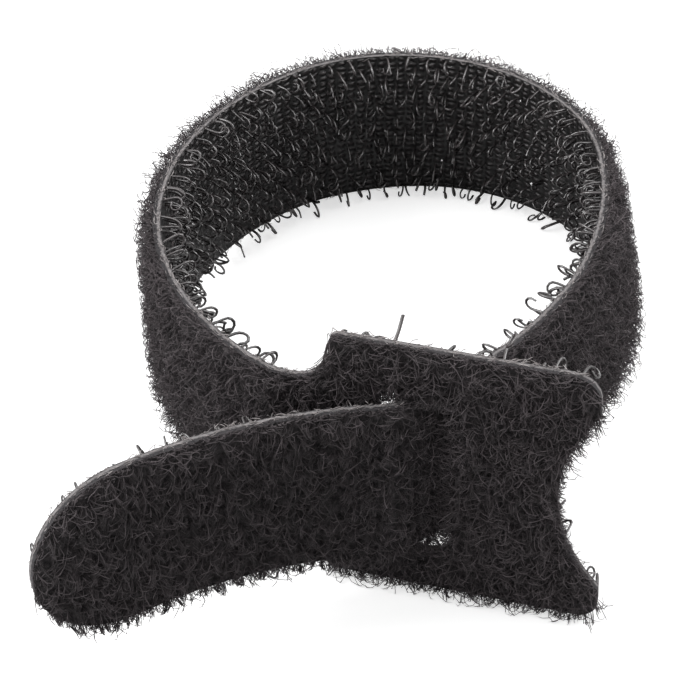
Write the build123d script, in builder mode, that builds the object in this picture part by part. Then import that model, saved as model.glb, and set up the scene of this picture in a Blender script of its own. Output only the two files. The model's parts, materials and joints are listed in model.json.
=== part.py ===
from build123d import *
from math import acos, atan, atan2, cos, degrees, radians, sin, tan
import os

# A hook and loop cable tie, die cut from one length of back-to-back tape and closed into a
# loop: the tail goes through the slot in the head and folds back over the outside of the neck.
# The loop stands on the edge of its tape. Lengths are millimetres and angles are degrees.

# ---- the tape ----
tape_width = 12.5
tape_thickness = 1.5

# ---- the head, measured from the middle of its slot ----
head_overhang = 3.75
slot_to_head_end = 11.5
head_end_slant = 4.5
slot_to_shoulder = 5.6
shoulder_radius = 2.4
shoulder_corner_radius = 0.6
hollow_depth = 2.6
lobe_width = 2.6
lobe_outer_radius = 1.6
lobe_inner_radius = 1.0
neck_straight = 0.3

# ---- the slot, a flat D that is rounder on the side of the head's end ----
slot_end_clearance = 0.775
slot_edge_clearance = 0.45
slot_neck_corner_radius = 0.7
slot_end_corner_radius = 1.8

# ---- the closed loop, seen from above, with its round part centred on the origin ----
# Its flanks are flatter arcs, each tangent to the round part: the slack side goes to the neck,
# and the run goes to the slot.
loop_radius = 14.0
side_slack = 7.5
neck_bend_radius = 4.0
run_radius = 29.4
run_turn = 60.0
run_start_heading = -88.0
head_heading = -15.0

# ---- the tail, from the slot outwards ----
tail_to_head_gap = 0.223
tail_bend_radius = 2.2
tail_bend_turn = 28.0
tail_curve_radius = 32.7
tail_curve_turn = 27.5
tail_end_straight = 0.6


def heading(angle):
    """Unit direction in the plan, at an angle from +X."""
    return Vector(cos(radians(angle)), sin(radians(angle)))


def bearing(direction):
    """Angle from +X of a direction in the plan."""
    return degrees(atan2(direction.Y, direction.X))


def left_of(direction):
    """Direction a quarter turn to the left."""
    return Vector(-direction.Y, direction.X)


# ---- the head and slot that the tape asks for ----
# The tape crosses the slot on a slant, so its way through is longer than its thickness.
run_end_heading = run_start_heading - run_turn
crossing_angle = radians(head_heading - run_end_heading)
crossing_length = tape_thickness * (1 + abs(cos(crossing_angle))) / sin(crossing_angle)
slot_length = crossing_length + 2 * slot_end_clearance
slot_width = tape_width + 2 * slot_edge_clearance
head_width = tape_width + 2 * head_overhang

# ---- plan of the centreline, which goes clockwise from the neck to the tail ----
# The run leaves the round part and crosses the head in the middle of the slot.
run_start = left_of(heading(run_start_heading)) * loop_radius
run_centre = run_start - left_of(heading(run_start_heading)) * run_radius
slot_centre = run_centre + left_of(heading(run_end_heading)) * run_radius

# The neck goes back from the slot, past the shoulders, and bends into the slack side.
neck_length = slot_to_shoulder + shoulder_radius + neck_straight
neck_heading = head_heading + 180
neck_direction = heading(neck_heading)
neck_end = slot_centre + neck_direction * neck_length
neck_bend_centre = neck_end - left_of(neck_direction) * neck_bend_radius

# The slack side's centre is where its arc is tangent to the neck's bend and to the round part:
# it is side_reach from the one's centre and side_slack from the other's.
side_radius = loop_radius + side_slack
side_reach = side_radius - neck_bend_radius
to_loop = neck_bend_centre * -1
side_swing_cosine = (side_reach**2 + to_loop.length**2 - side_slack**2) / (2 * side_reach * to_loop.length)
side_bearing = bearing(to_loop) - degrees(acos(side_swing_cosine))
side_centre = neck_bend_centre + heading(side_bearing) * side_reach
side_start_heading = side_bearing + 90
side_end_heading = bearing(side_centre * -1) - 90

# The tail goes straight on past the slot until its bend clears the slot's edge on the neck's side.
tail_outward = left_of(heading(run_end_heading - tail_bend_turn))
head_direction = heading(head_heading)
slot_edge = head_direction * -slot_length / 2 - left_of(head_direction) * tape_thickness / 2
tail_bend_sag = tail_bend_radius * (1 - cos(radians(tail_bend_turn)))
tail_clearance = slot_edge.dot(tail_outward) + tape_thickness / 2 + tail_to_head_gap
tail_bend_lead = (tail_clearance - tail_bend_sag) / sin(radians(tail_bend_turn))

# Each stretch is a radius and the turn it makes, to the left if positive. One with no turn is
# straight, and its first number is its length.
stretches = [
    (neck_bend_radius, side_start_heading - neck_heading),
    (side_radius, side_end_heading - side_start_heading),
    (loop_radius, run_start_heading - side_end_heading),
    (run_radius, -run_turn),
    (tail_bend_lead, 0),
    (tail_bend_radius, -tail_bend_turn),
    (tail_curve_radius, tail_curve_turn),
]


def draw_band_edge(to_left):
    """Draw the band's edge that lies this far to the left of the centreline."""
    point = neck_end + left_of(neck_direction) * to_left
    direction = neck_direction
    ends = [point]
    for size, turn in stretches:
        if turn == 0:
            piece = Line(point, point + direction * size)
        elif turn < 0:
            piece = JernArc(point, direction, size + to_left, turn)
        else:
            piece = JernArc(point, direction, size - to_left, turn)
        point = piece @ 1
        direction = piece % 1
    ends.append(point)
    return ends, direction


def corners_at(x):
    """Corners of the sketch being drawn that lie at this x, lowest first."""
    return vertices().filter_by_position(Axis.X, x - 0.01, x + 0.01).sort_by(Axis.Y)


# ---- upright planes: the head's, and that of the tail's straight end ----
up = Vector(0, 0, 1)
mid_height = up * (tape_width / 2)
head_plane = Plane(slot_centre + mid_height, x_dir=head_direction, z_dir=head_direction.cross(up))

with BuildPart() as strap:
    # The head and neck: shoulders, rounded lobes and a hollowed end, cut slightly askew.
    with BuildSketch(head_plane):
        half_head = head_width / 2
        end_offset = half_head * tan(radians(head_end_slant))
        head_corners = [
            (-slot_to_shoulder, -half_head),
            (slot_to_head_end + end_offset, -half_head),
            (slot_to_head_end - end_offset, half_head),
            (-slot_to_shoulder, half_head),
        ]
        Polygon(*head_corners, align=None)
        with Locations((-neck_length, 0)):
            Rectangle(neck_length, tape_width, align=(Align.MIN, Align.CENTER))
        hollow_half_chord = half_head - lobe_width
        hollow_radius = (hollow_half_chord**2 + hollow_depth**2) / (2 * hollow_depth)
        with Locations(Location((slot_to_head_end, 0, 0), (0, 0, head_end_slant))):
            with Locations((hollow_radius - hollow_depth, 0)):
                Circle(hollow_radius, mode=Mode.SUBTRACT)
        fillet(corners_at(-slot_to_shoulder)[1:3], shoulder_radius)
        shoulder_corners = corners_at(-slot_to_shoulder)
        fillet([shoulder_corners[0], shoulder_corners[-1]], shoulder_corner_radius)
        lobe_corners = vertices().sort_by(Axis.X)[-4:].sort_by(Axis.Y)
        fillet(lobe_corners[1:3], lobe_inner_radius)
        lobe_corners = vertices().group_by(Axis.Y)
        fillet([lobe_corners[0].sort_by(Axis.X)[-1], lobe_corners[-1].sort_by(Axis.X)[-1]], lobe_outer_radius)
    extrude(amount=tape_thickness / 2, both=True)

    # The slot, cut before the band is added because the band passes through it.
    with BuildSketch(head_plane):
        Rectangle(slot_length, slot_width)
        fillet(vertices().group_by(Axis.X)[0], slot_neck_corner_radius)
        fillet(vertices().group_by(Axis.X)[-1], slot_end_corner_radius)
    extrude(amount=tape_thickness, both=True, mode=Mode.SUBTRACT)

    # The band: the neck's bend, slack side, round part, run, the bend at the slot, the tail's curve.
    with BuildSketch(Plane.XY):
        with BuildLine():
            outer_ends, tail_direction = draw_band_edge(tape_thickness / 2)
            inner_ends, tail_direction = draw_band_edge(-tape_thickness / 2)
            Line(outer_ends[0], inner_ends[0])
            Line(outer_ends[1], inner_ends[1])
        make_face()
    extrude(amount=tape_width)

    # The tail's straight end, finished half round.
    tail_start = (outer_ends[1] + inner_ends[1]) / 2 + mid_height
    with BuildSketch(Plane(tail_start, x_dir=tail_direction, z_dir=tail_direction.cross(up))):
        Rectangle(tail_end_straight, tape_width, align=(Align.MIN, Align.CENTER))
        with Locations((tail_end_straight, 0)):
            Circle(tape_width / 2)
    extrude(amount=tape_thickness / 2, both=True)

# ---- how it stands ----
# The head is wider than the band, so the front is carried on the head's lower edge and the
# loop leans back until the far side of its round part touches the surface.
head_to_loop_centre = (slot_centre * -1).dot(left_of(head_direction))
lean = degrees(atan(head_overhang / (head_to_loop_centre + loop_radius)))
leaning_back = Location((0, 0, 0), head_direction, -lean)
box = (leaning_back * strap.part).bounding_box()
standing = Pos(-box.center().X, -box.center().Y, -box.min.Z) * leaning_back
strap.part = standing * strap.part
strap.part.label = "strap"

os.makedirs("parts", exist_ok=True)
export_step(strap.part, "parts/strap.step")

# ---- sizes to read off ----
band_length = sum(size if turn == 0 else size * radians(abs(turn)) for size, turn in stretches)
cut_length = slot_to_head_end + neck_length + band_length + tail_end_straight + tape_width / 2
loop_mount = standing * Pos(0, 0, 0)
print("cut length", round(cut_length, 2))
print("slot length", round(slot_length, 3), "tail bend lead", round(tail_bend_lead, 3))
print("side radius", round(side_radius, 2), "turns", [round(turn, 1) for size, turn in stretches])
print("lean", round(lean, 2))
print("slot centre", [round(value, 3) for value in (standing * Pos(*(slot_centre + mid_height))).position])
print("loop mount at", [round(value, 4) for value in loop_mount.position])
print("loop mount axis", [round(value, 5) for value in Plane(loop_mount).z_dir])
print("loop mount radius", loop_radius - tape_thickness / 2)
print("volume", round(strap.part.volume, 2), "box", strap.part.bounding_box().size)
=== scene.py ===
# %% [markdown]
# # A hook and loop cable tie
#
# The tie is one length of woven tape. One face carries rows of small hooks, cut from stiff
# filament, and the other face carries a pile of soft loops. It is die cut with a widened head,
# and closed into a loop by passing its tail through the slot in the head.
#
# The lesson follows the way the real thing is made. The blank is cut while it is flat, its hooks
# and pile are laid out on the flat tape, and one function bends everything round the closed path.
# The frame, which holds the fixed sizes, is loaded first.

# %% Load the frame
import json
import math

import bpy
import numpy as np
from mathutils import Matrix, Vector

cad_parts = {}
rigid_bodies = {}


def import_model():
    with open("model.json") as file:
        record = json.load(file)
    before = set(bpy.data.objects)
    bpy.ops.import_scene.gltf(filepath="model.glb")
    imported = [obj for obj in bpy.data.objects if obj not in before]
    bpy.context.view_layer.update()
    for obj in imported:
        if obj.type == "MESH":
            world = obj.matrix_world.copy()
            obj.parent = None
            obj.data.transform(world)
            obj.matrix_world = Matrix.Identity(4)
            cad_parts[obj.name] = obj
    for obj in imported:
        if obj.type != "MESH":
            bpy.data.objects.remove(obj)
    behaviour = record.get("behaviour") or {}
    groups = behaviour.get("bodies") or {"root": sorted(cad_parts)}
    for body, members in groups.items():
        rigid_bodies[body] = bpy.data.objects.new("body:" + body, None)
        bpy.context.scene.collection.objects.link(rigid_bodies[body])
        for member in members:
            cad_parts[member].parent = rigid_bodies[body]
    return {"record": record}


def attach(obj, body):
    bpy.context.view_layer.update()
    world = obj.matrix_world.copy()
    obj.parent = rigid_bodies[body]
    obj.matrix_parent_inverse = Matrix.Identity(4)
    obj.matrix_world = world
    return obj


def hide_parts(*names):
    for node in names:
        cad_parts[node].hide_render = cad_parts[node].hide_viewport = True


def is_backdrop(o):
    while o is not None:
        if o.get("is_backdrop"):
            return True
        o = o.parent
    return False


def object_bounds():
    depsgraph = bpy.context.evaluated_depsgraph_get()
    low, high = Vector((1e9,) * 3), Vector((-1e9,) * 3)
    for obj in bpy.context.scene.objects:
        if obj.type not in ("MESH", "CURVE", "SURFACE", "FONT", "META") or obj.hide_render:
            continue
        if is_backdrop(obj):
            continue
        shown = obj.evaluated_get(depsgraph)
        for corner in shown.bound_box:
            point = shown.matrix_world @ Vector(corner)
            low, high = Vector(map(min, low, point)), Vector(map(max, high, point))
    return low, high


for leftover in list(bpy.data.objects):
    bpy.data.objects.remove(leftover, do_unlink=True)
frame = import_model()
cad_low, cad_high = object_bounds()
print("CAD box", [round(v, 4) for v in cad_low], [round(v, 4) for v in cad_high])

# %% [markdown]
# ## Sizes
#
# These are the sizes of the cut blank and of the closed loop, in metres and radians. `s` is the
# distance along the tape from the middle of the slot: the head's end is at a negative `s`, and
# the tail's end is the largest.

# %% Sizes of the tape and the blank
MM = 0.001
tape_width = 12.5 * MM
hook_face = -0.25 * MM
pile_face = 0.30 * MM
head_width = 20.0 * MM
slot_to_head_end = 11.5 * MM
head_end_slant = math.tan(math.radians(4.5))
slot_to_shoulder = 5.6 * MM
shoulder_radius = 2.4 * MM
shoulder_corner_radius = 0.6 * MM
hollow_depth = 2.6 * MM
lobe_width = 2.6 * MM
lobe_radius = 1.6 * MM
slot_length = 5.0 * MM
slot_edge_clearance = 0.45 * MM
slot_height = tape_width + 2 * slot_edge_clearance
slot_corner_radius = 1.4 * MM
tail_end_straight = 0.6 * MM
tail_end_length = tail_end_straight + tape_width / 2
print("widths of the head and the tape", round(head_width / MM, 1), round(tape_width / MM, 1), "mm")

# %% Sizes of the closed loop
loop_radius = 14.0 * MM
side_slack = 7.5 * MM
neck_bend_radius = 4.0 * MM
neck_straight = 0.3 * MM
neck_length = slot_to_shoulder + shoulder_radius + neck_straight
run_radius = 29.4 * MM
run_turn = math.radians(60)
run_start_heading = math.radians(-88)
head_heading = math.radians(-15)
tail_bend_lead = 1.3 * MM
tail_bend_radius = 2.2 * MM
tail_bend_turn = math.radians(28)
tail_curve_radius = 32.7 * MM
tail_curve_turn = math.radians(27.5)
print("the round part is", round(2 * loop_radius / MM, 1), "mm across")

# %% [markdown]
# ## The path of the closed loop
#
# Seen from above, the tape follows arcs that run into each other without a kink: a short bend at
# the neck, a long slack side, the round part, the run back to the slot, and the tail. Each
# stretch needs only its radius and the angle it turns through. The middle of the slack side is
# found from the two arcs that it has to touch, as with a pair of compasses.

# %% Headings and the arcs of the plan


def heading(angle):
    """A step of one along a direction in the plan."""
    return np.array([math.cos(angle), math.sin(angle)])


def left_of(angle):
    """A step of one to the left of that direction."""
    return heading(angle + math.pi / 2)


run_centre = left_of(run_start_heading) * (loop_radius - run_radius)
slot_centre = run_centre + left_of(run_start_heading - run_turn) * run_radius
neck_heading = head_heading + math.pi
neck_end = slot_centre + heading(neck_heading) * neck_length
neck_bend_centre = neck_end - left_of(neck_heading) * neck_bend_radius

side_radius = loop_radius + side_slack
side_reach = side_radius - neck_bend_radius
centres_apart = float(np.hypot(*neck_bend_centre))
swing_cosine = (side_reach**2 + centres_apart**2 - side_slack**2) / (2 * side_reach * centres_apart)
side_bearing = math.atan2(-neck_bend_centre[1], -neck_bend_centre[0]) - math.acos(swing_cosine)
side_centre = neck_bend_centre + heading(side_bearing) * side_reach
side_start_heading = side_bearing + math.pi / 2
side_end_heading = math.atan2(-side_centre[1], -side_centre[0]) - math.pi / 2
print("slack side's radius", round(side_radius / MM, 1), "mm")

# %% The stretches, each as a length and a curvature
stretches = [
    (slot_to_head_end + neck_length, 0.0),
    (neck_bend_radius * (neck_heading - side_start_heading), -1 / neck_bend_radius),
    (side_radius * (side_start_heading - side_end_heading), -1 / side_radius),
    (loop_radius * (side_end_heading - run_start_heading), -1 / loop_radius),
    (run_radius * run_turn, -1 / run_radius),
    (tail_bend_lead, 0.0),
    (tail_bend_radius * tail_bend_turn, -1 / tail_bend_radius),
    (tail_curve_radius * tail_curve_turn, 1 / tail_curve_radius),
    (tail_end_length, 0.0),
]


def chord(length, curvature, start_heading):
    """Step along one stretch, as an offset in the plan."""
    swing = curvature * length
    reach = length * np.sinc(swing / (2 * math.pi))
    middle = start_heading + swing / 2
    return np.stack([reach * np.cos(middle), reach * np.sin(middle)], axis=-1)


# %% Walk along the stretches
stretch_starts, stretch_points, stretch_headings = [], [], []
here = slot_centre - heading(neck_heading) * slot_to_head_end
facing = neck_heading
travelled = -slot_to_head_end
for length, curvature in stretches:
    stretch_starts.append(travelled)
    stretch_points.append(here)
    stretch_headings.append(facing)
    here = here + chord(length, curvature, facing)
    facing += curvature * length
    travelled += length
stretch_starts = np.array(stretch_starts)
stretch_points = np.array(stretch_points)
stretch_headings = np.array(stretch_headings)
curvatures = np.array([curvature for length, curvature in stretches])
tail_tip = travelled
cut_length = slot_to_head_end + tail_tip
run_start, slot_return = stretch_starts[4:6]
print("cut length", round(cut_length / MM, 1), "mm")
print("the tape comes back to the slot at", round(slot_return / MM, 1), "mm")

# %% [markdown]
# ## Bending the flat tape round the path
#
# The flat tape stands on its edge along X: `x` is the distance along it, `y` is the distance to
# the left, which is the pile's side, and `z` is the height. `form` carries such points to the
# closed loop. The record's loop mount says where the loop's middle is and how far it leans back.
# The real tape isn't quite upright either: on the run's side its lower edge flares outwards.
# Fibres that would reach through the table are pressed flat against it instead, within the last
# quarter of a millimetre.

# %% Where the loop stands, and how its edge flares
mount = frame["record"]["mounts"][0]
loop_place = np.array(mount["pos_m"])
loop_up = Vector(mount["axis"])
leaning = np.array(Vector((0, 0, 1)).rotation_difference(loop_up).to_matrix())
flare = 2.7 * MM
flare_middle = run_start + MM
flare_reach = 28.0 * MM
pressed = 0.25 * MM
print("the loop's middle is at", [round(float(place) / MM, 1) for place in loop_place], "mm")


def smooth_step(value):
    """Ease from 0 to 1, level at both ends."""
    value = np.clip(value, 0, 1)
    return value * value * (3 - 2 * value)


def lean_out(s, z):
    """How far the tape is pushed to its left, at a place along it and a height."""
    nearness = smooth_step(1 - np.abs(s - flare_middle) / flare_reach)
    return flare * nearness * (1 - z / tape_width)


# %% The function that forms everything


def form(points):
    """Carry points of the flat tape to the closed loop."""
    s, left, z = points[:, 0], points[:, 1], points[:, 2]
    which = np.clip(np.searchsorted(stretch_starts, s, side="right") - 1, 0, len(stretches) - 1)
    along = s - stretch_starts[which]
    facing = stretch_headings[which]
    plan = stretch_points[which] + chord(along, curvatures[which], facing)
    facing = facing + curvatures[which] * along
    left = left + lean_out(s, z)
    plan = plan + np.stack([-np.sin(facing), np.cos(facing)], axis=-1) * left[:, None]
    places = np.column_stack([plan, z]) @ leaning.T + loop_place
    sunk = np.clip(1 - places[:, 2] / pressed, 0, None)
    places[:, 2] = np.where(sunk > 0, pressed / (1 + sunk), places[:, 2])
    return places


def form_object(piece):
    """Bend a finished flat piece into the loop."""
    flat = np.empty(len(piece.data.vertices) * 3)
    piece.data.vertices.foreach_get("co", flat)
    piece.data.vertices.foreach_set("co", form(flat.reshape(-1, 3)).ravel())
    piece.data.update()


# %% [markdown]
# ## Small helpers
#
# An operator acts on everything that is selected, so each step begins by selecting nothing. A
# modifier that has done its work is applied at once, and the place of each new object is put
# into its mesh, because every finished piece has to sit at the origin.

# %% Select a piece, and settle it


def pick(piece):
    """Select one piece and nothing else."""
    bpy.ops.object.select_all(action="DESELECT")
    piece.select_set(True)
    bpy.context.view_layer.objects.active = piece


def settle(piece, name):
    """Name a new object, and put its place and turn into its mesh."""
    pick(piece)
    piece.name = name
    piece.data.name = name
    bpy.ops.object.transform_apply(location=True, rotation=True, scale=True)
    return piece


# %% Combine pieces, and make boxes


def combine(piece, tool, operation):
    """Join, cut or intersect a piece with a tool by a Boolean modifier, and throw the tool away."""
    pick(piece)
    modifier = piece.modifiers.new("combine", "BOOLEAN")
    modifier.operation = operation
    modifier.object = tool
    modifier.solver = "EXACT"
    bpy.ops.object.modifier_apply(modifier="combine")
    bpy.data.objects.remove(tool, do_unlink=True)


def block(low, high, name):
    """A box from one corner to the other, made from the cube primitive."""
    low, high = Vector(low), Vector(high)
    bpy.ops.mesh.primitive_cube_add(size=1, location=(low + high) / 2, scale=high - low)
    return settle(bpy.context.object, name)


# %% Round the corners of an outline
same_place = 0.001 * MM
near_corner = 0.2 * MM


def round_upright_edges(piece, near, radius, segments=8):
    """Bevel the edges that cross the tape's thickness and stand near these corners."""
    pick(piece)
    bpy.ops.object.mode_set(mode="EDIT")
    bpy.ops.mesh.select_mode(type="EDGE")
    bpy.ops.mesh.select_all(action="DESELECT")
    bpy.ops.object.mode_set(mode="OBJECT")
    for edge in piece.data.edges:
        ends = [piece.data.vertices[i].co for i in edge.vertices]
        if abs(ends[0].x - ends[1].x) + abs(ends[0].z - ends[1].z) < same_place:
            edge.select = any(abs(ends[0].x - x) + abs(ends[0].z - z) < near_corner for x, z in near)
    bpy.ops.object.mode_set(mode="EDIT")
    bpy.ops.mesh.bevel(offset=radius, segments=segments, affect="EDGES", profile=0.5)
    bpy.ops.object.mode_set(mode="OBJECT")


# %% [markdown]
# ## The die
#
# The outline is cut in one stroke by a steel die. The die is modelled as a thick plate: a box for
# the head, whose end is set at a slight slant, joined to a box for the tape. Its corners are
# rounded with Bevel, its end is hollowed with a cylinder and its slot is cut through. It is
# thicker than the tape, because it has to pass right through it.

# %% The die's plate, with the shoulders and the tail's round end
mid_height = tape_width / 2
head_top, head_foot = mid_height + head_width / 2, mid_height - head_width / 2
end_offset = head_width / 2 * head_end_slant
die_depth = 2.0 * MM
die = block((-slot_to_head_end, -die_depth, head_foot), (slot_to_shoulder, die_depth, head_top), "die")
for vertex in die.data.vertices:
    if vertex.co.x < 0:
        vertex.co.x += (vertex.co.z - mid_height) * head_end_slant
band = block((0, -die_depth, 0), (tail_tip, die_depth, tape_width), "band")
between_bevels = 0.02 * MM
tail_radius = tape_width / 2 - between_bevels
round_upright_edges(band, [(tail_tip, 0), (tail_tip, tape_width)], tail_radius, segments=16)
combine(die, band, "UNION")
neck_corners = [(slot_to_shoulder, 0), (slot_to_shoulder, tape_width)]
shoulder_corners = [(slot_to_shoulder, head_top), (slot_to_shoulder, head_foot)]
round_upright_edges(die, neck_corners, shoulder_radius)
round_upright_edges(die, shoulder_corners, shoulder_corner_radius)
lobe_corners = [(-slot_to_head_end + end_offset, head_top), (-slot_to_head_end - end_offset, head_foot)]
round_upright_edges(die, lobe_corners, lobe_radius)
print("die has", len(die.data.polygons), "faces")

# %% The hollow in the head's end, and the slot
hollow_half = head_width / 2 - lobe_width
hollow_radius = (hollow_half**2 + hollow_depth**2) / (2 * hollow_depth)
hollow_reach = hollow_radius - hollow_depth
hollow_s = -slot_to_head_end - hollow_reach
hollow_z = mid_height + hollow_reach * head_end_slant
bpy.ops.mesh.primitive_cylinder_add(vertices=128, radius=hollow_radius, depth=4 * die_depth,
                                    location=(hollow_s, 0, hollow_z), rotation=(math.pi / 2, 0, 0))
combine(die, settle(bpy.context.object, "hollow"), "DIFFERENCE")
slot_plug = block((-slot_length / 2, -2 * die_depth, mid_height - slot_height / 2),
                  (slot_length / 2, 2 * die_depth, mid_height + slot_height / 2), "slot_plug")
slot_corners = [(end * slot_length / 2, mid_height + side * slot_height / 2)
                for end in (-1, 1) for side in (-1, 1)]
round_upright_edges(slot_plug, slot_corners, slot_corner_radius)
combine(die, slot_plug, "DIFFERENCE")
print("hollow radius", round(hollow_radius / MM, 2), "mm")

# %% [markdown]
# ## The woven ground
#
# The die cuts the blank by keeping what lies inside both it and a flat strip. The tape bends
# smoothly only if it has enough cells along its length, so Bisect then scores the blank across
# and along. The faces left by the cut are the frayed edge, which is painted paler than the two
# sides as a painted highlight, so they get a material of their own. They are found before the
# tape is bent, while they still face along it or up and down.

# %% Cut the blank and score it into cells
cell = 0.6 * MM
margin = 1.5 * MM
ground = block((-slot_to_head_end - margin, hook_face, head_foot - margin),
               (tail_tip + margin, pile_face, head_top + margin), "tape_ground")
combine(ground, die, "INTERSECT")
pick(ground)
bpy.ops.object.mode_set(mode="EDIT")
for x in np.arange(-slot_to_head_end - end_offset + cell / 2, tail_tip, cell):
    bpy.ops.mesh.select_all(action="SELECT")
    bpy.ops.mesh.bisect(plane_co=(x, 0, 0), plane_no=(1, 0, 0))
for z in np.arange(head_foot + cell, head_top, 2 * cell):
    bpy.ops.mesh.select_all(action="SELECT")
    bpy.ops.mesh.bisect(plane_co=(0, 0, z), plane_no=(0, 0, 1))
bpy.ops.object.mode_set(mode="OBJECT")
KNOTTED, CUT_EDGE, PILE_BED = 0, 1, 2
for face in ground.data.polygons:
    if abs(face.normal.y) < 0.5:
        face.material_index = CUT_EDGE
    else:
        face.material_index = PILE_BED if face.normal.y > 0 else KNOTTED
cut_faces = sum(face.material_index == CUT_EDGE for face in ground.data.polygons)
print("ground has", len(ground.data.polygons), "faces,", cut_faces, "of them on the cut edge")

# %% [markdown]
# One UV map keeps each cell's place on the flat tape in millimetres, so that the weave follows the
# tape round its bends. A second one keeps the depth through the tape, from 0 on the hooks' side
# to 1 on the pile's side, for the layers that show on the cut edge. Only then is the blank bent.

# %% Map the weave, mark the cut edge and bend the ground
weave_map = ground.data.uv_layers.new(name="flat")
layer_map = ground.data.uv_layers.new(name="layer")
for corner in ground.data.loops:
    place = ground.data.vertices[corner.vertex_index].co
    weave_map.data[corner.index].uv = (place.x / MM, place.z / MM)
    layer_map.data[corner.index].uv = ((place.y - hook_face) / (pile_face - hook_face), place.x / MM)
form_object(ground)
pick(ground)
bpy.ops.object.shade_smooth_by_angle(angle=math.radians(40))
print("ground is", [round(side / MM, 1) for side in ground.dimensions], "mm over all")

# %% [markdown]
# ## Where things grow
#
# Hooks and pile grow all over the blank, but not in the slot, past the round tail or inside the
# hollow. `on_tape` is the outline again, as a test that works on thousands of places at once.

# %% A test for places on the tape


def half_width(s):
    """Half the blank's width at a place along it."""
    past_shoulder = np.clip(slot_to_shoulder + shoulder_radius - s, 0, shoulder_radius)
    concave = shoulder_radius - np.sqrt(shoulder_radius**2 - past_shoulder**2)
    half = np.where(s < slot_to_shoulder, head_width / 2, tape_width / 2 + concave)
    into_tail = np.clip(s - (tail_tip - tape_width / 2), 0, tape_width / 2)
    return np.where(into_tail > 0, np.sqrt(tape_width**2 / 4 - into_tail**2), half)


def on_tape(s, z, inset=0.0):
    """Whether each place is on the blank, and at least the inset from its edge."""
    across = z - mid_height
    from_end = s + slot_to_head_end - across * head_end_slant
    into_lobe = np.clip(lobe_radius - from_end, 0, lobe_radius)
    lobe_cut = lobe_radius - np.sqrt(lobe_radius**2 - into_lobe**2)
    inside = (from_end > inset) & (s < tail_tip - inset)
    inside &= np.abs(across) < half_width(np.minimum(s, tail_tip)) - lobe_cut - inset
    inside &= np.hypot(s - hollow_s, z - hollow_z) > hollow_radius + inset
    in_slot = (np.abs(s) < slot_length / 2 + inset) & (np.abs(across) < slot_height / 2 + inset)
    return inside & ~in_slot


print("half the width at the slot and in the run",
      [round(float(half_width(place)) / MM, 2) for place in (0, run_start)], "mm")


# %% [markdown]
# ## One mesh from many copies
#
# Thousands of separate objects would be slow, so copies of a small shape are joined into one mesh.
# Each copy gets a number from 0 to 1, its `shade`, which the material turns into a lighter or
# darker yarn.

# %% Join copies into a piece


def joined_piece(name, points, faces, shades):
    """Bend copies of a shape into the loop, as one mesh.

    points has a row for each copy, and faces are the first copy's.
    """
    copies, corners = points.shape[:2]
    all_faces = faces[None] + (np.arange(copies) * corners)[:, None, None]
    mesh = bpy.data.meshes.new(name)
    mesh.from_pydata(form(points.reshape(-1, 3)), [], all_faces.reshape(-1, faces.shape[1]).tolist())
    shade = mesh.attributes.new("shade", "FLOAT", "POINT")
    shade.data.foreach_set("value", np.repeat(shades, corners).astype(np.float32))
    mesh.polygons.foreach_set("use_smooth", np.ones(len(mesh.polygons), bool))
    piece = bpy.data.objects.new(name, mesh)
    bpy.context.collection.objects.link(piece)
    print(name, "has", copies, "copies and", copies * len(faces), "triangles")
    return piece


def join_pieces(pieces, name):
    """Join finished pieces into one."""
    bpy.ops.object.select_all(action="DESELECT")
    for piece in pieces:
        piece.select_set(True)
    bpy.context.view_layer.objects.active = pieces[0]
    bpy.ops.object.join()
    whole = bpy.context.object
    whole.name = name
    print(name, "has", len(whole.data.polygons), "triangles in all")
    return whole


def turned(points, angles):
    """Turn each copy of a shape about the direction that stands out of the tape."""
    cosines, sines = np.cos(angles)[:, None], np.sin(angles)[:, None]
    x, y, z = points[..., 0], points[..., 1], points[..., 2]
    return np.stack([x * cosines + z * sines, y, z * cosines - x * sines], axis=-1)


# %% [markdown]
# ## The hooks
#
# A hook is a loop of stiff filament that has been cut on one side, so one leg curls over like a
# walking stick and the other is a stub. One of each is modelled as a curve with a round bevel,
# and converted to a mesh. A third shape is the same hook curled up tight by use. They stand out
# of the tape along -Y. Four sides are enough for a filament less than a fifth of a millimetre thick.

# %% Model one filament from its curve
filament_radius = 0.09 * MM


def filament(name, route, steps=2):
    """A short filament along a route given in millimetres, as arrays of points and triangles."""
    bpy.ops.curve.primitive_nurbs_path_add()
    curve = bpy.context.object.data
    curve.splines.clear()
    spline = curve.splines.new("NURBS")
    spline.points.add(len(route) - 1)
    for point, place in zip(spline.points, route):
        point.co = (*(Vector(place) * MM), 1)
    spline.order_u = 3
    spline.use_endpoint_u = True
    spline.resolution_u = steps
    curve.bevel_depth = filament_radius
    curve.bevel_resolution = 0
    curve.use_fill_caps = True
    bpy.ops.object.convert(target="MESH")
    strand = settle(bpy.context.object, name)
    strand.data.calc_loop_triangles()
    points = np.array([vertex.co for vertex in strand.data.vertices])
    faces = np.array([triangle.vertices for triangle in strand.data.loop_triangles])
    bpy.data.objects.remove(strand, do_unlink=True)
    print(name, "has", len(points), "points and", len(faces), "triangles")
    return points, faces


hook_route = [(0, -0.2, 0), (0, -0.75, -0.04), (0.03, -1.3, 0.02), (0.06, -1.62, 0.42),
              (0.08, -1.25, 0.84), (0.08, -0.82, 0.66)]
curl_route = [(0, -0.2, 0), (0.02, -0.7, -0.06), (0.05, -1.45, -0.1), (0.1, -1.72, 0.5),
              (0.16, -1.25, 0.95), (0.2, -0.7, 0.62), (0.2, -0.95, 0.2)]
stub_route = [(0, -0.2, 0), (0, -0.6, 0.05), (0.05, -1.0, 0.2), (0.1, -1.3, 0.5)]
hook_shapes = [filament("hook", hook_route), filament("curled_hook", curl_route),
               filament("hook_stub", stub_route)]

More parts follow.
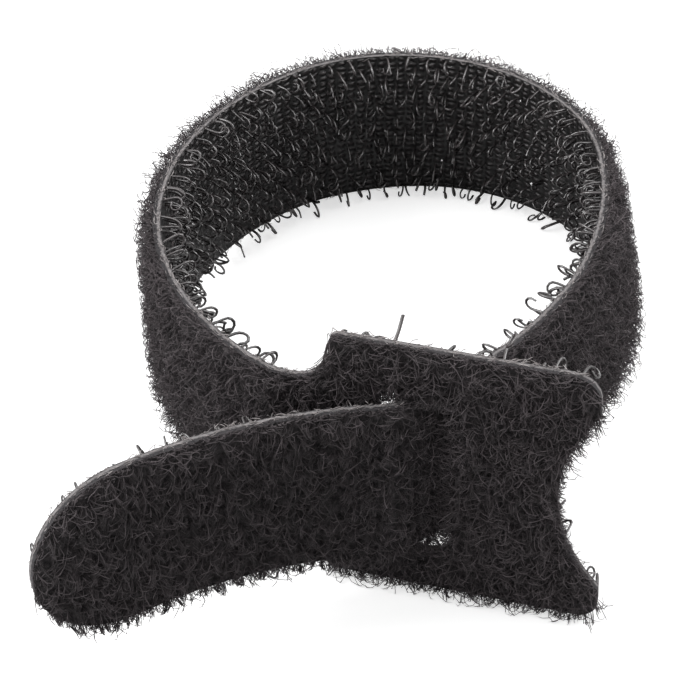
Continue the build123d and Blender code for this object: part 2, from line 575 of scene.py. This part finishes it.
# %% [markdown]
# The weave sets the hooks in columns across the tape, and each column is shifted by half a step
# from its neighbour. Some sites have lost their hook, and many have the stub of the cut leg. The
# sites are worked out first, and the blank's outline says which of them lie on the tape.

# %% Find the hooks' sites
hook_pitch_along = 0.8 * MM
hook_pitch_across = 1.5 * MM
hook_rows = 13
hook_inset = 0.15 * MM
chance = np.random.default_rng(11)
columns = np.arange(-slot_to_head_end - end_offset + hook_pitch_along / 2, tail_tip, hook_pitch_along)
rows = mid_height + (np.arange(hook_rows) - hook_rows // 2) * hook_pitch_across
site_s, site_z = (grid.ravel() for grid in np.meshgrid(columns, rows, indexing="ij"))
site_z = site_z + np.repeat(np.arange(len(columns)) % 2, len(rows)) * hook_pitch_across / 2
keep = on_tape(site_s, site_z, hook_inset)
site_s, site_z = site_s[keep], site_z[keep]
print(len(site_s), "sites for hooks")

# %% [markdown]
# The curls hang down across the tape. Inside the loop one in five is turned up, and use has bent
# many of them. On the tail, which has been pulled through the slot, they are pressed short. The
# four shares are of plain hooks, curled ones, stubs alone and sites that have lost theirs.

# %% Plant the hooks
kind_shares = (0.52, 0.26, 0.12, 0.10)
stub_share = 0.35
tail_hook_size = 0.65
turned_up_share = 0.2
kind = chance.choice(len(kind_shares), len(site_s), p=kind_shares)
also_stub = chance.random(len(site_s)) < stub_share
hooks = []
for number, (points, faces) in enumerate(hook_shapes):
    chosen = (kind == number) | (also_stub & (number == len(hook_shapes) - 1))
    count = int(chosen.sum())
    on_tail = site_s[chosen] > slot_return
    size = chance.normal(1.0, 0.09, count).clip(0.8, 1.2) * np.where(on_tail, tail_hook_size, 1)
    upside = np.where((chance.random(count) < turned_up_share) & ~on_tail, math.pi, 0)
    bent = turned(points[None] * size[:, None, None], math.pi + upside + chance.normal(0, 0.5, count))
    tilt = chance.normal(0, 0.16, (2, count, 1)) * bent[..., 1]
    bent = bent + np.stack([tilt[0], 0 * tilt[0], tilt[1]], axis=-1)
    drift = chance.normal(0, 0.07 * MM, (count, 2))
    roots = np.column_stack([site_s[chosen] + drift[:, 0], np.zeros(count), site_z[chosen] + drift[:, 1]])
    hooks.append(joined_piece(f"hooks_{number}", bent + roots[:, None], faces, chance.random(count)))
hooks = join_pieces(hooks, "hooks")

# %% [markdown]
# ## The pile
#
# The pile is tens of thousands of fine, curled fibres. Blender could grow them as hair, but hair
# isn't a mesh. Here each fibre is a thin three-sided strand with pointed ends, through four or
# five places of an arc that rises out of the tape. `fibre_places` gives the places, with the same
# `chord` that laid out the path, and `strands` puts the skin on. `held_in` keeps the tape's
# outline clean: what reaches past it is drawn back, but not all the way.

# %% Keep fibres to the outline
fibre_radius = 0.026 * MM
outline_slack = 0.1 * MM
side_pull = 0.6
tip_pull = 0.5
tail_centre = tail_tip - tape_width / 2
chance = np.random.default_rng(7)
print("a fibre is", round(2000 * fibre_radius / MM), "thousandths of a millimetre thick")


def held_in(places):
    """Bend back what reaches far past the two long edges or the tail's end."""
    s, across = places[..., 0], places[..., 2] - mid_height
    half = half_width(np.minimum(s, tail_centre)) + outline_slack
    past = np.clip(np.abs(across) - half, 0, None)
    across = across - np.sign(across) * past * side_pull
    along = np.clip(s - tail_centre, 0, None)
    reach = np.hypot(along, across)
    drawn_back = tape_width / 2 + (reach - tape_width / 2) * (1 - tip_pull)
    rounded = np.where(reach > tape_width / 2, drawn_back, reach) / reach
    at_end = along > 0
    places[..., 0] = np.where(at_end, tail_centre + along * rounded, s)
    places[..., 2] = mid_height + np.where(at_end, across * rounded, across)
    return places


# %% Places along a fibre's arc
fibre_jitter = 0.025 * MM


def fibre_places(s, z, bearing, length, curl, root, rise, arch, steps):
    """Places along fibres: each starts at (s, z), sets off on a bearing and turns by its curl."""
    t = np.linspace(0, 1, steps)[None]
    flat = chord(length[:, None] * t, (curl / length)[:, None], bearing[:, None])
    out = root[:, None] + rise[:, None] * np.sin(math.pi * t * arch[:, None])
    places = np.stack([s[:, None] + flat[..., 0], out, z[:, None] + flat[..., 1]], axis=-1)
    places += chance.normal(0, fibre_jitter, places.shape) * (t > 0)[..., None]
    return held_in(places)


# %% The skin of a fibre


def strands(name, places, radius, shades):
    """Skin over fibres: one point at each end, and a ring of three points between."""
    count, steps = places.shape[:2]
    forward = places[:, 2:] - places[:, :-2]
    forward /= np.linalg.norm(forward, axis=-1, keepdims=True)
    first = np.cross(forward, chance.normal(0, 1, (count, 1, 3)))
    first /= np.linalg.norm(first, axis=-1, keepdims=True)
    second = np.cross(forward, first)
    rings = []
    for turn in (0, 2 * math.pi / 3, 4 * math.pi / 3):
        rings.append(places[:, 1:-1] + radius * (first * math.cos(turn) + second * math.sin(turn)))
    rings = np.stack(rings, axis=2).reshape(count, (steps - 2) * 3, 3)
    points = np.concatenate([places[:, :1], rings, places[:, -1:]], axis=1)
    faces = []
    last = points.shape[1] - 1
    for side in range(3):
        here, after = 1 + side, 1 + (side + 1) % 3
        faces.append((0, after, here))
        for ring in range(steps - 3):
            low, low_after = here + 3 * ring, after + 3 * ring
            faces += [(low, low_after, low_after + 3), (low, low_after + 3, low + 3)]
        faces.append((here + 3 * (steps - 3), after + 3 * (steps - 3), last))
    return joined_piece(name, points, np.array(faces), shades)


# %% [markdown]
# Fibres grow thickest along the cut edge. Three functions give places there, each with the
# bearing that points away from the tape: along the two long edges, in the hollow of the head's
# end, and round the slot. The slot's long sides are its height, where the tape passes through.
# Its ends get four times as many, because there they have to close the gap beside the tape's edge.

# %% Places along the cut edge
edge_step = 0.035 * MM
slot_step = 0.03 * MM
slot_end_step = slot_step / 4
tip_inset = 0.02 * MM


def edge_places(start, end, step):
    """Places along both long edges and round the tail's end, with their outward bearings."""
    walk = np.arange(start, min(end, tail_tip - tip_inset), step)
    half = half_width(walk)
    slope = np.gradient(half, walk)
    low = np.stack([walk, mid_height - half, np.arctan2(-np.ones_like(slope), -slope)])
    high = np.stack([walk, mid_height + half, np.arctan2(np.ones_like(slope), -slope)])
    return np.hstack([low, high])


def hollow_places(step):
    """Places along the hollow in the head's end."""
    half_turn = math.asin(hollow_half / hollow_radius)
    turn = np.arange(-half_turn, half_turn, step / hollow_radius)
    hollow_edge = [hollow_s + hollow_radius * np.cos(turn), hollow_z + hollow_radius * np.sin(turn)]
    return np.stack([*hollow_edge, turn + math.pi])


def slot_places():
    """Places round the slot, with the bearings that face into it."""
    across = np.arange(-slot_height / 2, slot_height / 2, slot_step)
    along = np.arange(-slot_length / 2, slot_length / 2, slot_end_step)
    round_it = []
    for side, bearing in ((-1, 0), (1, math.pi)):
        round_it.append([np.full_like(across, side * slot_length / 2), across, np.full_like(across, bearing)])
    for side in (-1, 1):
        bearing = -side * math.pi / 2
        round_it.append([along, np.full_like(along, side * slot_height / 2), np.full_like(along, bearing)])
    s, z, bearing = np.hstack([np.stack(part) for part in round_it])
    return np.stack([s, z + mid_height, bearing])


print(slot_places().shape[1], "places round the slot")

# %% [markdown]
# The pile's yarn is worked into the tape in stitches, in columns across it. Where the pile has
# not been rubbed, each stitch has two legs that point downwards and outwards, like a fir
# tree, and the fibres of a leg run together to a point like a wet brush. Rubbing pulls fibres
# out, and they curl over the legs as fuzz. More of them curl over the cut edge. Each function
# gives a table of fibres, with a row each for s, z, bearing, length, rise and shade.

# %% The stitches' legs
stitch_along = 1.2 * MM
stitch_across = 0.95 * MM
half_stitch = 0.17 * MM


def stitch_legs(start, end, leg_fibres, height):
    """The legs of the stitches, each a pointed bundle of fibres."""
    leg_s, leg_z = np.meshgrid(np.arange(start, end, stitch_along) + stitch_along / 2,
                               np.arange(head_foot, head_top + stitch_across, stitch_across), indexing="ij")
    leg_s, leg_z = np.repeat(leg_s.ravel(), 2), np.repeat(leg_z.ravel(), 2)
    count = len(leg_s)
    side = np.tile([-1, 1], count // 2)
    leg_s = leg_s + side * half_stitch + chance.normal(0, 0.09 * MM, count)
    leg_z = leg_z + chance.normal(0, 0.14 * MM, count)
    bearing = -math.pi / 2 + side * np.radians(chance.normal(24, 13, count))
    length = chance.normal(1.2, 0.17, count).clip(0.7, 1.6) * MM
    rise = chance.normal(0.9, 0.22, count).clip(0.4, 1.4) * height
    shade = chance.uniform(0.0, 0.55, count)
    legs = np.repeat(np.stack([leg_s, leg_z, bearing, length, rise, shade]), leg_fibres, axis=1)
    spread = chance.normal(0, 0.11 * MM, (2, legs.shape[1]))
    legs[0:2] += spread
    legs[2] += spread[0] / legs[3] * np.sin(legs[2]) + chance.normal(0, 0.09, legs.shape[1])
    legs[3:5] *= chance.uniform(0.7, 1.1, (2, legs.shape[1]))
    legs[5] += chance.normal(0, 0.12, legs.shape[1])
    return legs


print(round(tape_width / stitch_across), "stitches across the tape")

# %% Loose fuzz, and the fuzz of the edges
most_inwards = 0.3 * MM
slot_fuzz_length = 1.8


def loose_fuzz(start, end, density, height):
    """Fibres that rubbing has pulled out, with so many to a square millimetre."""
    count = int(density * (end - start) * (head_top - head_foot) / MM**2)
    s, z = chance.uniform(start, end, count), chance.uniform(head_foot, head_top, count)
    bearing = chance.uniform(-math.pi, math.pi, count)
    length = chance.uniform(0.8, 2.1, count) * MM
    rise = chance.gamma(9.0, 0.125, count).clip(0.4, 1.55) * height
    return np.stack([s, z, bearing, length, rise, chance.beta(2.0, 1.8, count)])


def edge_fuzz(start, end, height):
    """Short fibres that curl over the cut edge, and longer ones that reach into the slot."""
    places = [edge_places(start, end, edge_step)]
    if start < 0:
        places += [hollow_places(edge_step), slot_places()]
    s, z, bearing = np.hstack(places)
    count = len(s)
    inwards = chance.uniform(most_inwards / 10, most_inwards, count)
    s, z = s - inwards * np.cos(bearing), z - inwards * np.sin(bearing)
    round_slot = np.abs(s) < slot_length / 2 + most_inwards
    round_slot &= np.abs(z - mid_height) < slot_height / 2 + most_inwards
    length = chance.uniform(0.3, 0.85, count) * np.where(round_slot, slot_fuzz_length, 1) * MM
    bearing = bearing + chance.normal(0, 0.8, count)
    rise = chance.uniform(0.1, 0.8, count) * height
    return np.stack([s, z, bearing, length, rise, chance.beta(2.0, 2.0, count)])


# %% [markdown]
# All three are grown together, one stretch of the tape at a time, because a single mesh of the
# whole pile would be too heavy. The outside of the loop has been handled, so more of its pile is
# fuzz and it stands taller. On the tail the stitches still show, with more fibres in each leg.

# %% Grow the pile, stretch by stretch
root_inset = 0.02 * MM


def grow_pile(name, start, end, leg_fibres, density, height):
    """Pile on the tape from start to end.

    Each kind of fibre has a spread of curls, a number of places and a greatest depth of root in mm.
    """
    kinds = ((stitch_legs(start, end, leg_fibres, height), 0.25, 4, 0.05),
             (loose_fuzz(start, end, density, height), 2.0, 5, 0.05),
             (edge_fuzz(start, end, height), 1.0, 4, 0.25))
    grown = []
    for number, (fibres, curl_spread, steps, depth) in enumerate(kinds):
        fibres = fibres[:, on_tape(fibres[0], fibres[1], root_inset)]
        s, z, bearing, length, rise, shade = fibres
        count = len(s)
        root = pile_face - chance.uniform(0.02, depth, count) * MM
        curl = chance.normal(0, curl_spread, count)
        arch = chance.uniform(0.45, 0.85, count)
        places = fibre_places(s, z, bearing, length, curl, root, rise, arch, steps)
        grown.append(strands(f"{name}_{number}", places, fibre_radius, shade.clip(0, 1)))
    return join_pieces(grown, name)


head_start = -slot_to_head_end - end_offset
side_end = neck_length + (slot_return - neck_length) * 0.33
round_end = neck_length + (slot_return - neck_length) * 0.66
pile = [
    grow_pile("pile_head", head_start, neck_length, leg_fibres=7, density=12, height=0.75 * MM),
    grow_pile("pile_slack_side", neck_length, side_end, leg_fibres=5, density=12, height=0.9 * MM),
    grow_pile("pile_round", side_end, round_end, leg_fibres=5, density=11, height=0.95 * MM),
    grow_pile("pile_run", round_end, slot_return, leg_fibres=5, density=12, height=0.9 * MM),
    grow_pile("pile_tail", slot_return, tail_tip, leg_fibres=11, density=6, height=0.75 * MM),
]
print("the pile has", sum(len(piece.data.polygons) for piece in pile), "triangles")

# %% [markdown]
# ## The frayed edge
#
# The die leaves cut yarn ends all round the blank. Most lie along the edge and some stand out of
# it. Their yarn is painted pale all over, a painted highlight for the light that the cut ends
# catch, so they show as a pale line between the two faces.

# %% Fray the cut edge
fray_step = 0.085 * MM
fray_inset = 0.1 * MM
edge_s, edge_z, outward = np.hstack([edge_places(head_start, tail_tip, fray_step), hollow_places(fray_step)])
nearby = on_tape(edge_s - fray_inset * np.cos(outward), edge_z - fray_inset * np.sin(outward))
edge_s, edge_z, outward = edge_s[nearby], edge_z[nearby], outward[nearby]
count = len(edge_s)
inwards = chance.uniform(0.0, 0.12, count) * MM
lying = np.where(chance.random(count) < 0.5, -1, 1) * np.radians(chance.normal(76, 24, count))
fray_places = fibre_places(
    edge_s - inwards * np.cos(outward), edge_z - inwards * np.sin(outward), outward + lying,
    chance.uniform(0.3, 0.95, count) * MM, -lying * chance.uniform(-0.4, 0.8, count),
    chance.uniform(-0.25, 0.15, count) * MM, chance.normal(0.0, 0.14, count) * MM,
    chance.uniform(0.4, 0.9, count), 4)
frayed_edge = strands("frayed_edge", fray_places, fibre_radius, chance.beta(2.5, 2, count))

# %% [markdown]
# ## Finishes
#
# All the yarn is dyed black, yet it doesn't look black: a fibre this fine scatters light, so the
# pile reads as charcoal, a little warm. The hooks are a smooth solid filament, darker and
# glossier, with a small bright line along each curl. Each material starts from the Principled
# shader, and its colour comes from a ramp driven by the fibre's shade and a soft noise.

# %% A yarn material from a few numbers
patches_to_a_metre = 420


def yarn(name, dark, light, roughness, patch_share=0.35):
    """A material whose colour runs from dark to light by each fibre's shade and by soft patches."""
    material = bpy.data.materials.new(name)
    material.use_nodes = True
    nodes, links = material.node_tree.nodes, material.node_tree.links
    shader = nodes["Principled BSDF"]
    shader.inputs["Roughness"].default_value = roughness
    place = nodes.new("ShaderNodeTexCoord")
    patches = nodes.new("ShaderNodeTexNoise")
    patches.inputs["Scale"].default_value = patches_to_a_metre
    patches.inputs["Detail"].default_value = 3
    links.new(place.outputs["Object"], patches.inputs["Vector"])
    shade = nodes.new("ShaderNodeAttribute")
    shade.attribute_name = "shade"
    blend = nodes.new("ShaderNodeMix")
    blend.inputs["Factor"].default_value = patch_share
    links.new(shade.outputs["Fac"], blend.inputs["A"])
    links.new(patches.outputs["Fac"], blend.inputs["B"])
    ramp = nodes.new("ShaderNodeValToRGB")
    ramp.color_ramp.elements[0].position = 0.15
    ramp.color_ramp.elements[0].color = (*dark, 1)
    ramp.color_ramp.elements[1].position = 0.85
    ramp.color_ramp.elements[1].color = (*light, 1)
    links.new(blend.outputs["Result"], ramp.inputs["Fac"])
    links.new(ramp.outputs["Color"], shader.inputs["Base Color"])
    return material


pile_yarn = yarn("pile yarn", dark=(0.012, 0.0096, 0.0104), light=(0.115, 0.097, 0.103), roughness=0.8)
hook_filament = yarn("hook filament", dark=(0.022, 0.019, 0.0195), light=(0.065, 0.056, 0.057),
                     roughness=0.24)
hook_filament.node_tree.nodes["Principled BSDF"].inputs["Specular IOR Level"].default_value = 1.0
# The frayed ends' pale colour is a painted highlight, not the black yarn's own colour.
frayed_yarn_painted_highlight = yarn("frayed yarn painted highlight", dark=(0.12, 0.108, 0.108), light=(0.42, 0.385, 0.38), roughness=0.8)
print("made", pile_yarn.name, "and", hook_filament.name, "and", frayed_yarn_painted_highlight.name)

# %% [markdown]
# The ground needs three finishes. They all read the map of the flat tape, so that the weave
# follows its bends, and two of them raise the surface by the same height that colours it: the
# tops are painted lighter, a painted highlight, and the dips darker, a painted shade. Those
# steps are helpers, and each finish then has a short cell of its own.

# %% What the ground's finishes share


def ground_material(name, roughness):
    """A plain material, with a node that gives each place's millimetres on the flat tape."""
    material = bpy.data.materials.new(name)
    material.use_nodes = True
    nodes = material.node_tree.nodes
    nodes["Principled BSDF"].inputs["Roughness"].default_value = roughness
    flat = nodes.new("ShaderNodeUVMap")
    flat.uv_map = "flat"
    return material, nodes, material.node_tree.links, flat


def paint_light_by_height_and_bump(nodes, links, height, dark, light, depth):
    """Paint a material lighter where a height is high and darker where it is low, as painted highlight and
    shade, and raise it.
    """
    shader = nodes["Principled BSDF"]
    # The ramp runs from painted shade in the dips to painted highlight on the tops.
    ramp = nodes.new("ShaderNodeValToRGB")
    ramp.color_ramp.elements[0].color = (*dark, 1)
    ramp.color_ramp.elements[1].color = (*light, 1)
    links.new(height, ramp.inputs["Fac"])
    links.new(ramp.outputs["Color"], shader.inputs["Base Color"])
    bump = nodes.new("ShaderNodeBump")
    bump.inputs["Distance"].default_value = depth
    links.new(height, bump.inputs["Height"])
    links.new(bump.outputs["Normal"], shader.inputs["Normal"])
    return ramp


# %% [markdown]
# On the hooks' side the ground's stout filament makes a grid of small knots, with ribs across
# the tape. Two wave textures multiplied together draw it. A wave texture of scale 1 repeats every
# pi / 10, so its scale is worked out from the pitch of the weave.

# %% The knotted side
knot_pitch = 0.5 * MM
knotted, nodes, links, flat = ground_material("knotted ground", roughness=0.4)
ribs = []
for direction, pitch in (("X", hook_pitch_along), ("Y", knot_pitch)):
    wave = nodes.new("ShaderNodeTexWave")
    wave.bands_direction = direction
    wave.inputs["Scale"].default_value = math.pi / 10 / (pitch / MM)
    wave.inputs["Distortion"].default_value = 3.2
    wave.inputs["Detail"].default_value = 3
    wave.inputs["Detail Scale"].default_value = 2.2
    links.new(flat.outputs["UV"], wave.inputs["Vector"])
    ribs.append(wave)
knots = nodes.new("ShaderNodeMath")
knots.operation = "MULTIPLY"
links.new(ribs[0].outputs["Fac"], knots.inputs[0])
links.new(ribs[1].outputs["Fac"], knots.inputs[1])
# The knots' tops are painted lighter and the dips between them darker: painted highlight and painted shade.
paint_light_by_height_and_bump(nodes, links, knots.outputs[0], dark=(0.004, 0.0034, 0.0036), light=(0.05, 0.043, 0.044),
                depth=0.22 * MM)
print("made", knotted.name)

# %% [markdown]
# On the pile's side, the bed that the fibres stand in is a fine noise, painted lighter where it is
# raised and darker in its dips, as painted highlight and painted shade.

# %% The pile's bed
bed, nodes, links, flat = ground_material("pile bed", roughness=0.9)
fine = nodes.new("ShaderNodeTexNoise")
fine.inputs["Scale"].default_value = 3.2
fine.inputs["Detail"].default_value = 4
links.new(flat.outputs["UV"], fine.inputs["Vector"])
# The raised places are painted lighter and the dips darker: painted highlight and painted shade.
ramp = paint_light_by_height_and_bump(nodes, links, fine.outputs["Fac"], dark=(0.006, 0.005, 0.0054),
                       light=(0.05, 0.042, 0.045), depth=0.3 * MM)
ramp.color_ramp.elements[0].position = 0.35
ramp.color_ramp.elements[1].position = 0.7
print("made", bed.name)

# %% [markdown]
# The cut edge shows both of these dark layers, with a pale band between them, which is a painted
# highlight for the light that the cut yarn catches. The map of the depth through the tape gives
# the layers, and a noise makes their borders uneven.

# %% The cut edge
edge, nodes, links, flat = ground_material("cut edge", roughness=0.85)
depth = nodes.new("ShaderNodeUVMap")
depth.uv_map = "layer"
fine = nodes.new("ShaderNodeTexNoise")
fine.inputs["Scale"].default_value = 5
links.new(flat.outputs["UV"], fine.inputs["Vector"])
apart = nodes.new("ShaderNodeSeparateXYZ")
links.new(depth.outputs["UV"], apart.inputs[0])
uneven = nodes.new("ShaderNodeMath")
uneven.operation = "MULTIPLY_ADD"
uneven.inputs[1].default_value = 0.35
links.new(fine.outputs["Fac"], uneven.inputs[0])
links.new(apart.outputs["X"], uneven.inputs[2])
layers = nodes.new("ShaderNodeValToRGB")
stops = layers.color_ramp.elements
stops[0].position, stops[0].color = 0.22, (0.02, 0.018, 0.019, 1)
# The stops at 0.40 and 0.55 make the pale band, a painted highlight.
stops[1].position, stops[1].color = 0.40, (0.20, 0.188, 0.19, 1)
for position, grey in ((0.55, (0.17, 0.16, 0.162, 1)), (0.72, (0.025, 0.023, 0.025, 1))):
    stop = stops.new(position)
    stop.color = grey
links.new(uneven.outputs[0], layers.inputs["Fac"])
links.new(layers.outputs["Color"], nodes["Principled BSDF"].inputs["Base Color"])
print("made", edge.name, "with", len(stops), "stops")

# %% Give each piece its finish
for material in (knotted, edge, bed):
    ground.data.materials.append(material)
hooks.data.materials.append(hook_filament)
frayed_edge.data.materials.append(frayed_yarn_painted_highlight)
for piece in pile:
    piece.data.materials.append(pile_yarn)
print("the ground has", len(ground.data.materials), "finishes, and the other pieces have one each")

# %% [markdown]
# ## Fitting the pieces to the frame
#
# Every piece rides on the one body, and the ground stands for the plain solid that the frame
# holds, which is hidden. The tape is a sheet of cloth, cut flat and then folded, and the area
# that it was cut to is worked out.

# %% Ride, replace and work out the flat area
grown = [hooks, frayed_edge, *pile]
for piece in [ground, *grown]:
    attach(piece, "root")
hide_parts("strap")
flat_area = tape_width * cut_length + (head_width - tape_width) * (slot_to_head_end + slot_to_shoulder)
flat_area -= slot_length * slot_height + hollow_depth * hollow_half * 4 / 3
print("flat area", round(flat_area / MM**2), "square millimetres")

# %% [markdown]
# ## The camera
#
# The tie is seen from a little above and to the front, close up with a long lens. The view is
# set in the loop's own directions and then leans back with it.

# %% Look at the loop
camera_rise = math.radians(40)
camera_distance = 120 * MM
lens = 93.7
aim = np.array([-4.58, -12.85, 6.25]) * MM
backwards = np.array([0, -math.cos(camera_rise), math.sin(camera_rise)])
upwards = np.array([0, math.sin(camera_rise), math.cos(camera_rise)])
bpy.ops.object.camera_add()
camera = bpy.context.object
camera.data.lens = lens
camera.data.clip_start = 0.005
turn = leaning @ np.column_stack([(1, 0, 0), upwards, backwards])
eye = loop_place + leaning @ (aim + backwards * camera_distance)
camera.matrix_world = Matrix.Translation(eye) @ Matrix(turn.tolist()).to_4x4()
bpy.context.scene.camera = camera
print("the camera is", round(camera_distance / MM), "mm from what it looks at")

# %% [markdown]
# ## Floor and light
#
# The tie stands on a white table. The floor is a pale matt surface. To the camera alone it also
# glows, so that it comes out white but keeps the tie's soft shadow.

# %% The floor
floor_grey = 0.66
floor_glow = 0.62
bpy.ops.mesh.primitive_plane_add(size=3, location=(0, 0, 0))
floor = bpy.context.object
floor.name = "floor"
floor_paint = bpy.data.materials.new("floor paint")
floor_paint.use_nodes = True
nodes, links = floor_paint.node_tree.nodes, floor_paint.node_tree.links
floor_shader = nodes["Principled BSDF"]
floor_shader.inputs["Base Color"].default_value = (floor_grey, floor_grey, floor_grey, 1)
floor_shader.inputs["Roughness"].default_value = 1
floor_shader.inputs["Specular IOR Level"].default_value = 0
seen = nodes.new("ShaderNodeLightPath")
glow = nodes.new("ShaderNodeEmission")
glow.inputs["Color"].default_value = (1, 1, 1, 1)
glow_strength = nodes.new("ShaderNodeMath")
glow_strength.operation = "MULTIPLY"
glow_strength.inputs[1].default_value = floor_glow
links.new(seen.outputs["Is Camera Ray"], glow_strength.inputs[0])
links.new(glow_strength.outputs[0], glow.inputs["Strength"])
both = nodes.new("ShaderNodeAddShader")
links.new(floor_shader.outputs[0], both.inputs[0])
links.new(glow.outputs[0], both.inputs[1])
links.new(both.outputs[0], nodes["Material Output"].inputs["Surface"])
floor.data.materials.append(floor_paint)
floor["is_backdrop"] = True
print("the floor's grey is", floor_grey, "and its glow", floor_glow)

# %% [markdown]
# The room's own light is low, but the room looks white to the camera and in reflections. A large
# lamp on the left does most of the work, with a weaker one on the right and one above, so that
# the two flanks are brighter than the front and the fuzz is picked out.

# %% The room
room_strength = 0.36
world = bpy.data.worlds.new("white room")
bpy.context.scene.world = world
world.use_nodes = True
nodes, links = world.node_tree.nodes, world.node_tree.links
room = nodes["Background"]
room.inputs["Color"].default_value = (1, 1, 1, 1)
room.inputs["Strength"].default_value = room_strength
backdrop = nodes.new("ShaderNodeBackground")
backdrop.inputs["Color"].default_value = (1, 1, 1, 1)
seen = nodes.new("ShaderNodeLightPath")
mirrored = nodes.new("ShaderNodeMath")
mirrored.operation = "MAXIMUM"
links.new(seen.outputs["Is Camera Ray"], mirrored.inputs[0])
links.new(seen.outputs["Is Glossy Ray"], mirrored.inputs[1])
choose = nodes.new("ShaderNodeMixShader")
links.new(mirrored.outputs[0], choose.inputs[0])
links.new(room.outputs[0], choose.inputs[1])
links.new(backdrop.outputs[0], choose.inputs[2])
links.new(choose.outputs[0], nodes["World Output"].inputs["Surface"])
print("the room's light is", room_strength)

# %% The lamps
lamp_size = 0.24


def lamp(name, place, power):
    """A soft square lamp that faces the tie."""
    bpy.ops.object.light_add(type="AREA", location=place)
    light = bpy.context.object
    light.name = name
    light.data.size = lamp_size
    light.data.energy = power
    light.rotation_euler = (-Vector(place)).to_track_quat("-Z", "Y").to_euler()
    print(name, "has", power, "watts")


lamp("lamp_left", (-0.32, 0.0, 0.24), power=1.7)
lamp("lamp_right", (0.30, 0.10, 0.22), power=1.0)
lamp("lamp_above", (0.0, 0.06, 0.45), power=0.8)

# %% [markdown]
# ## Last checks
#
# View colours are kept plain, and the two boxes are written out: the CAD model's, taken at the
# start, and the finished tie's, which may only be a little larger, by its fuzz.

# %% Write the sizes and finish
bpy.context.scene.view_settings.view_transform = "Standard"
low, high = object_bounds()
grown_low = [round((was - now) / MM, 2) for was, now in zip(cad_low, low)]
grown_high = [round((now - was) / MM, 2) for was, now in zip(cad_high, high)]
print("grown by", grown_low, grown_high, "mm")
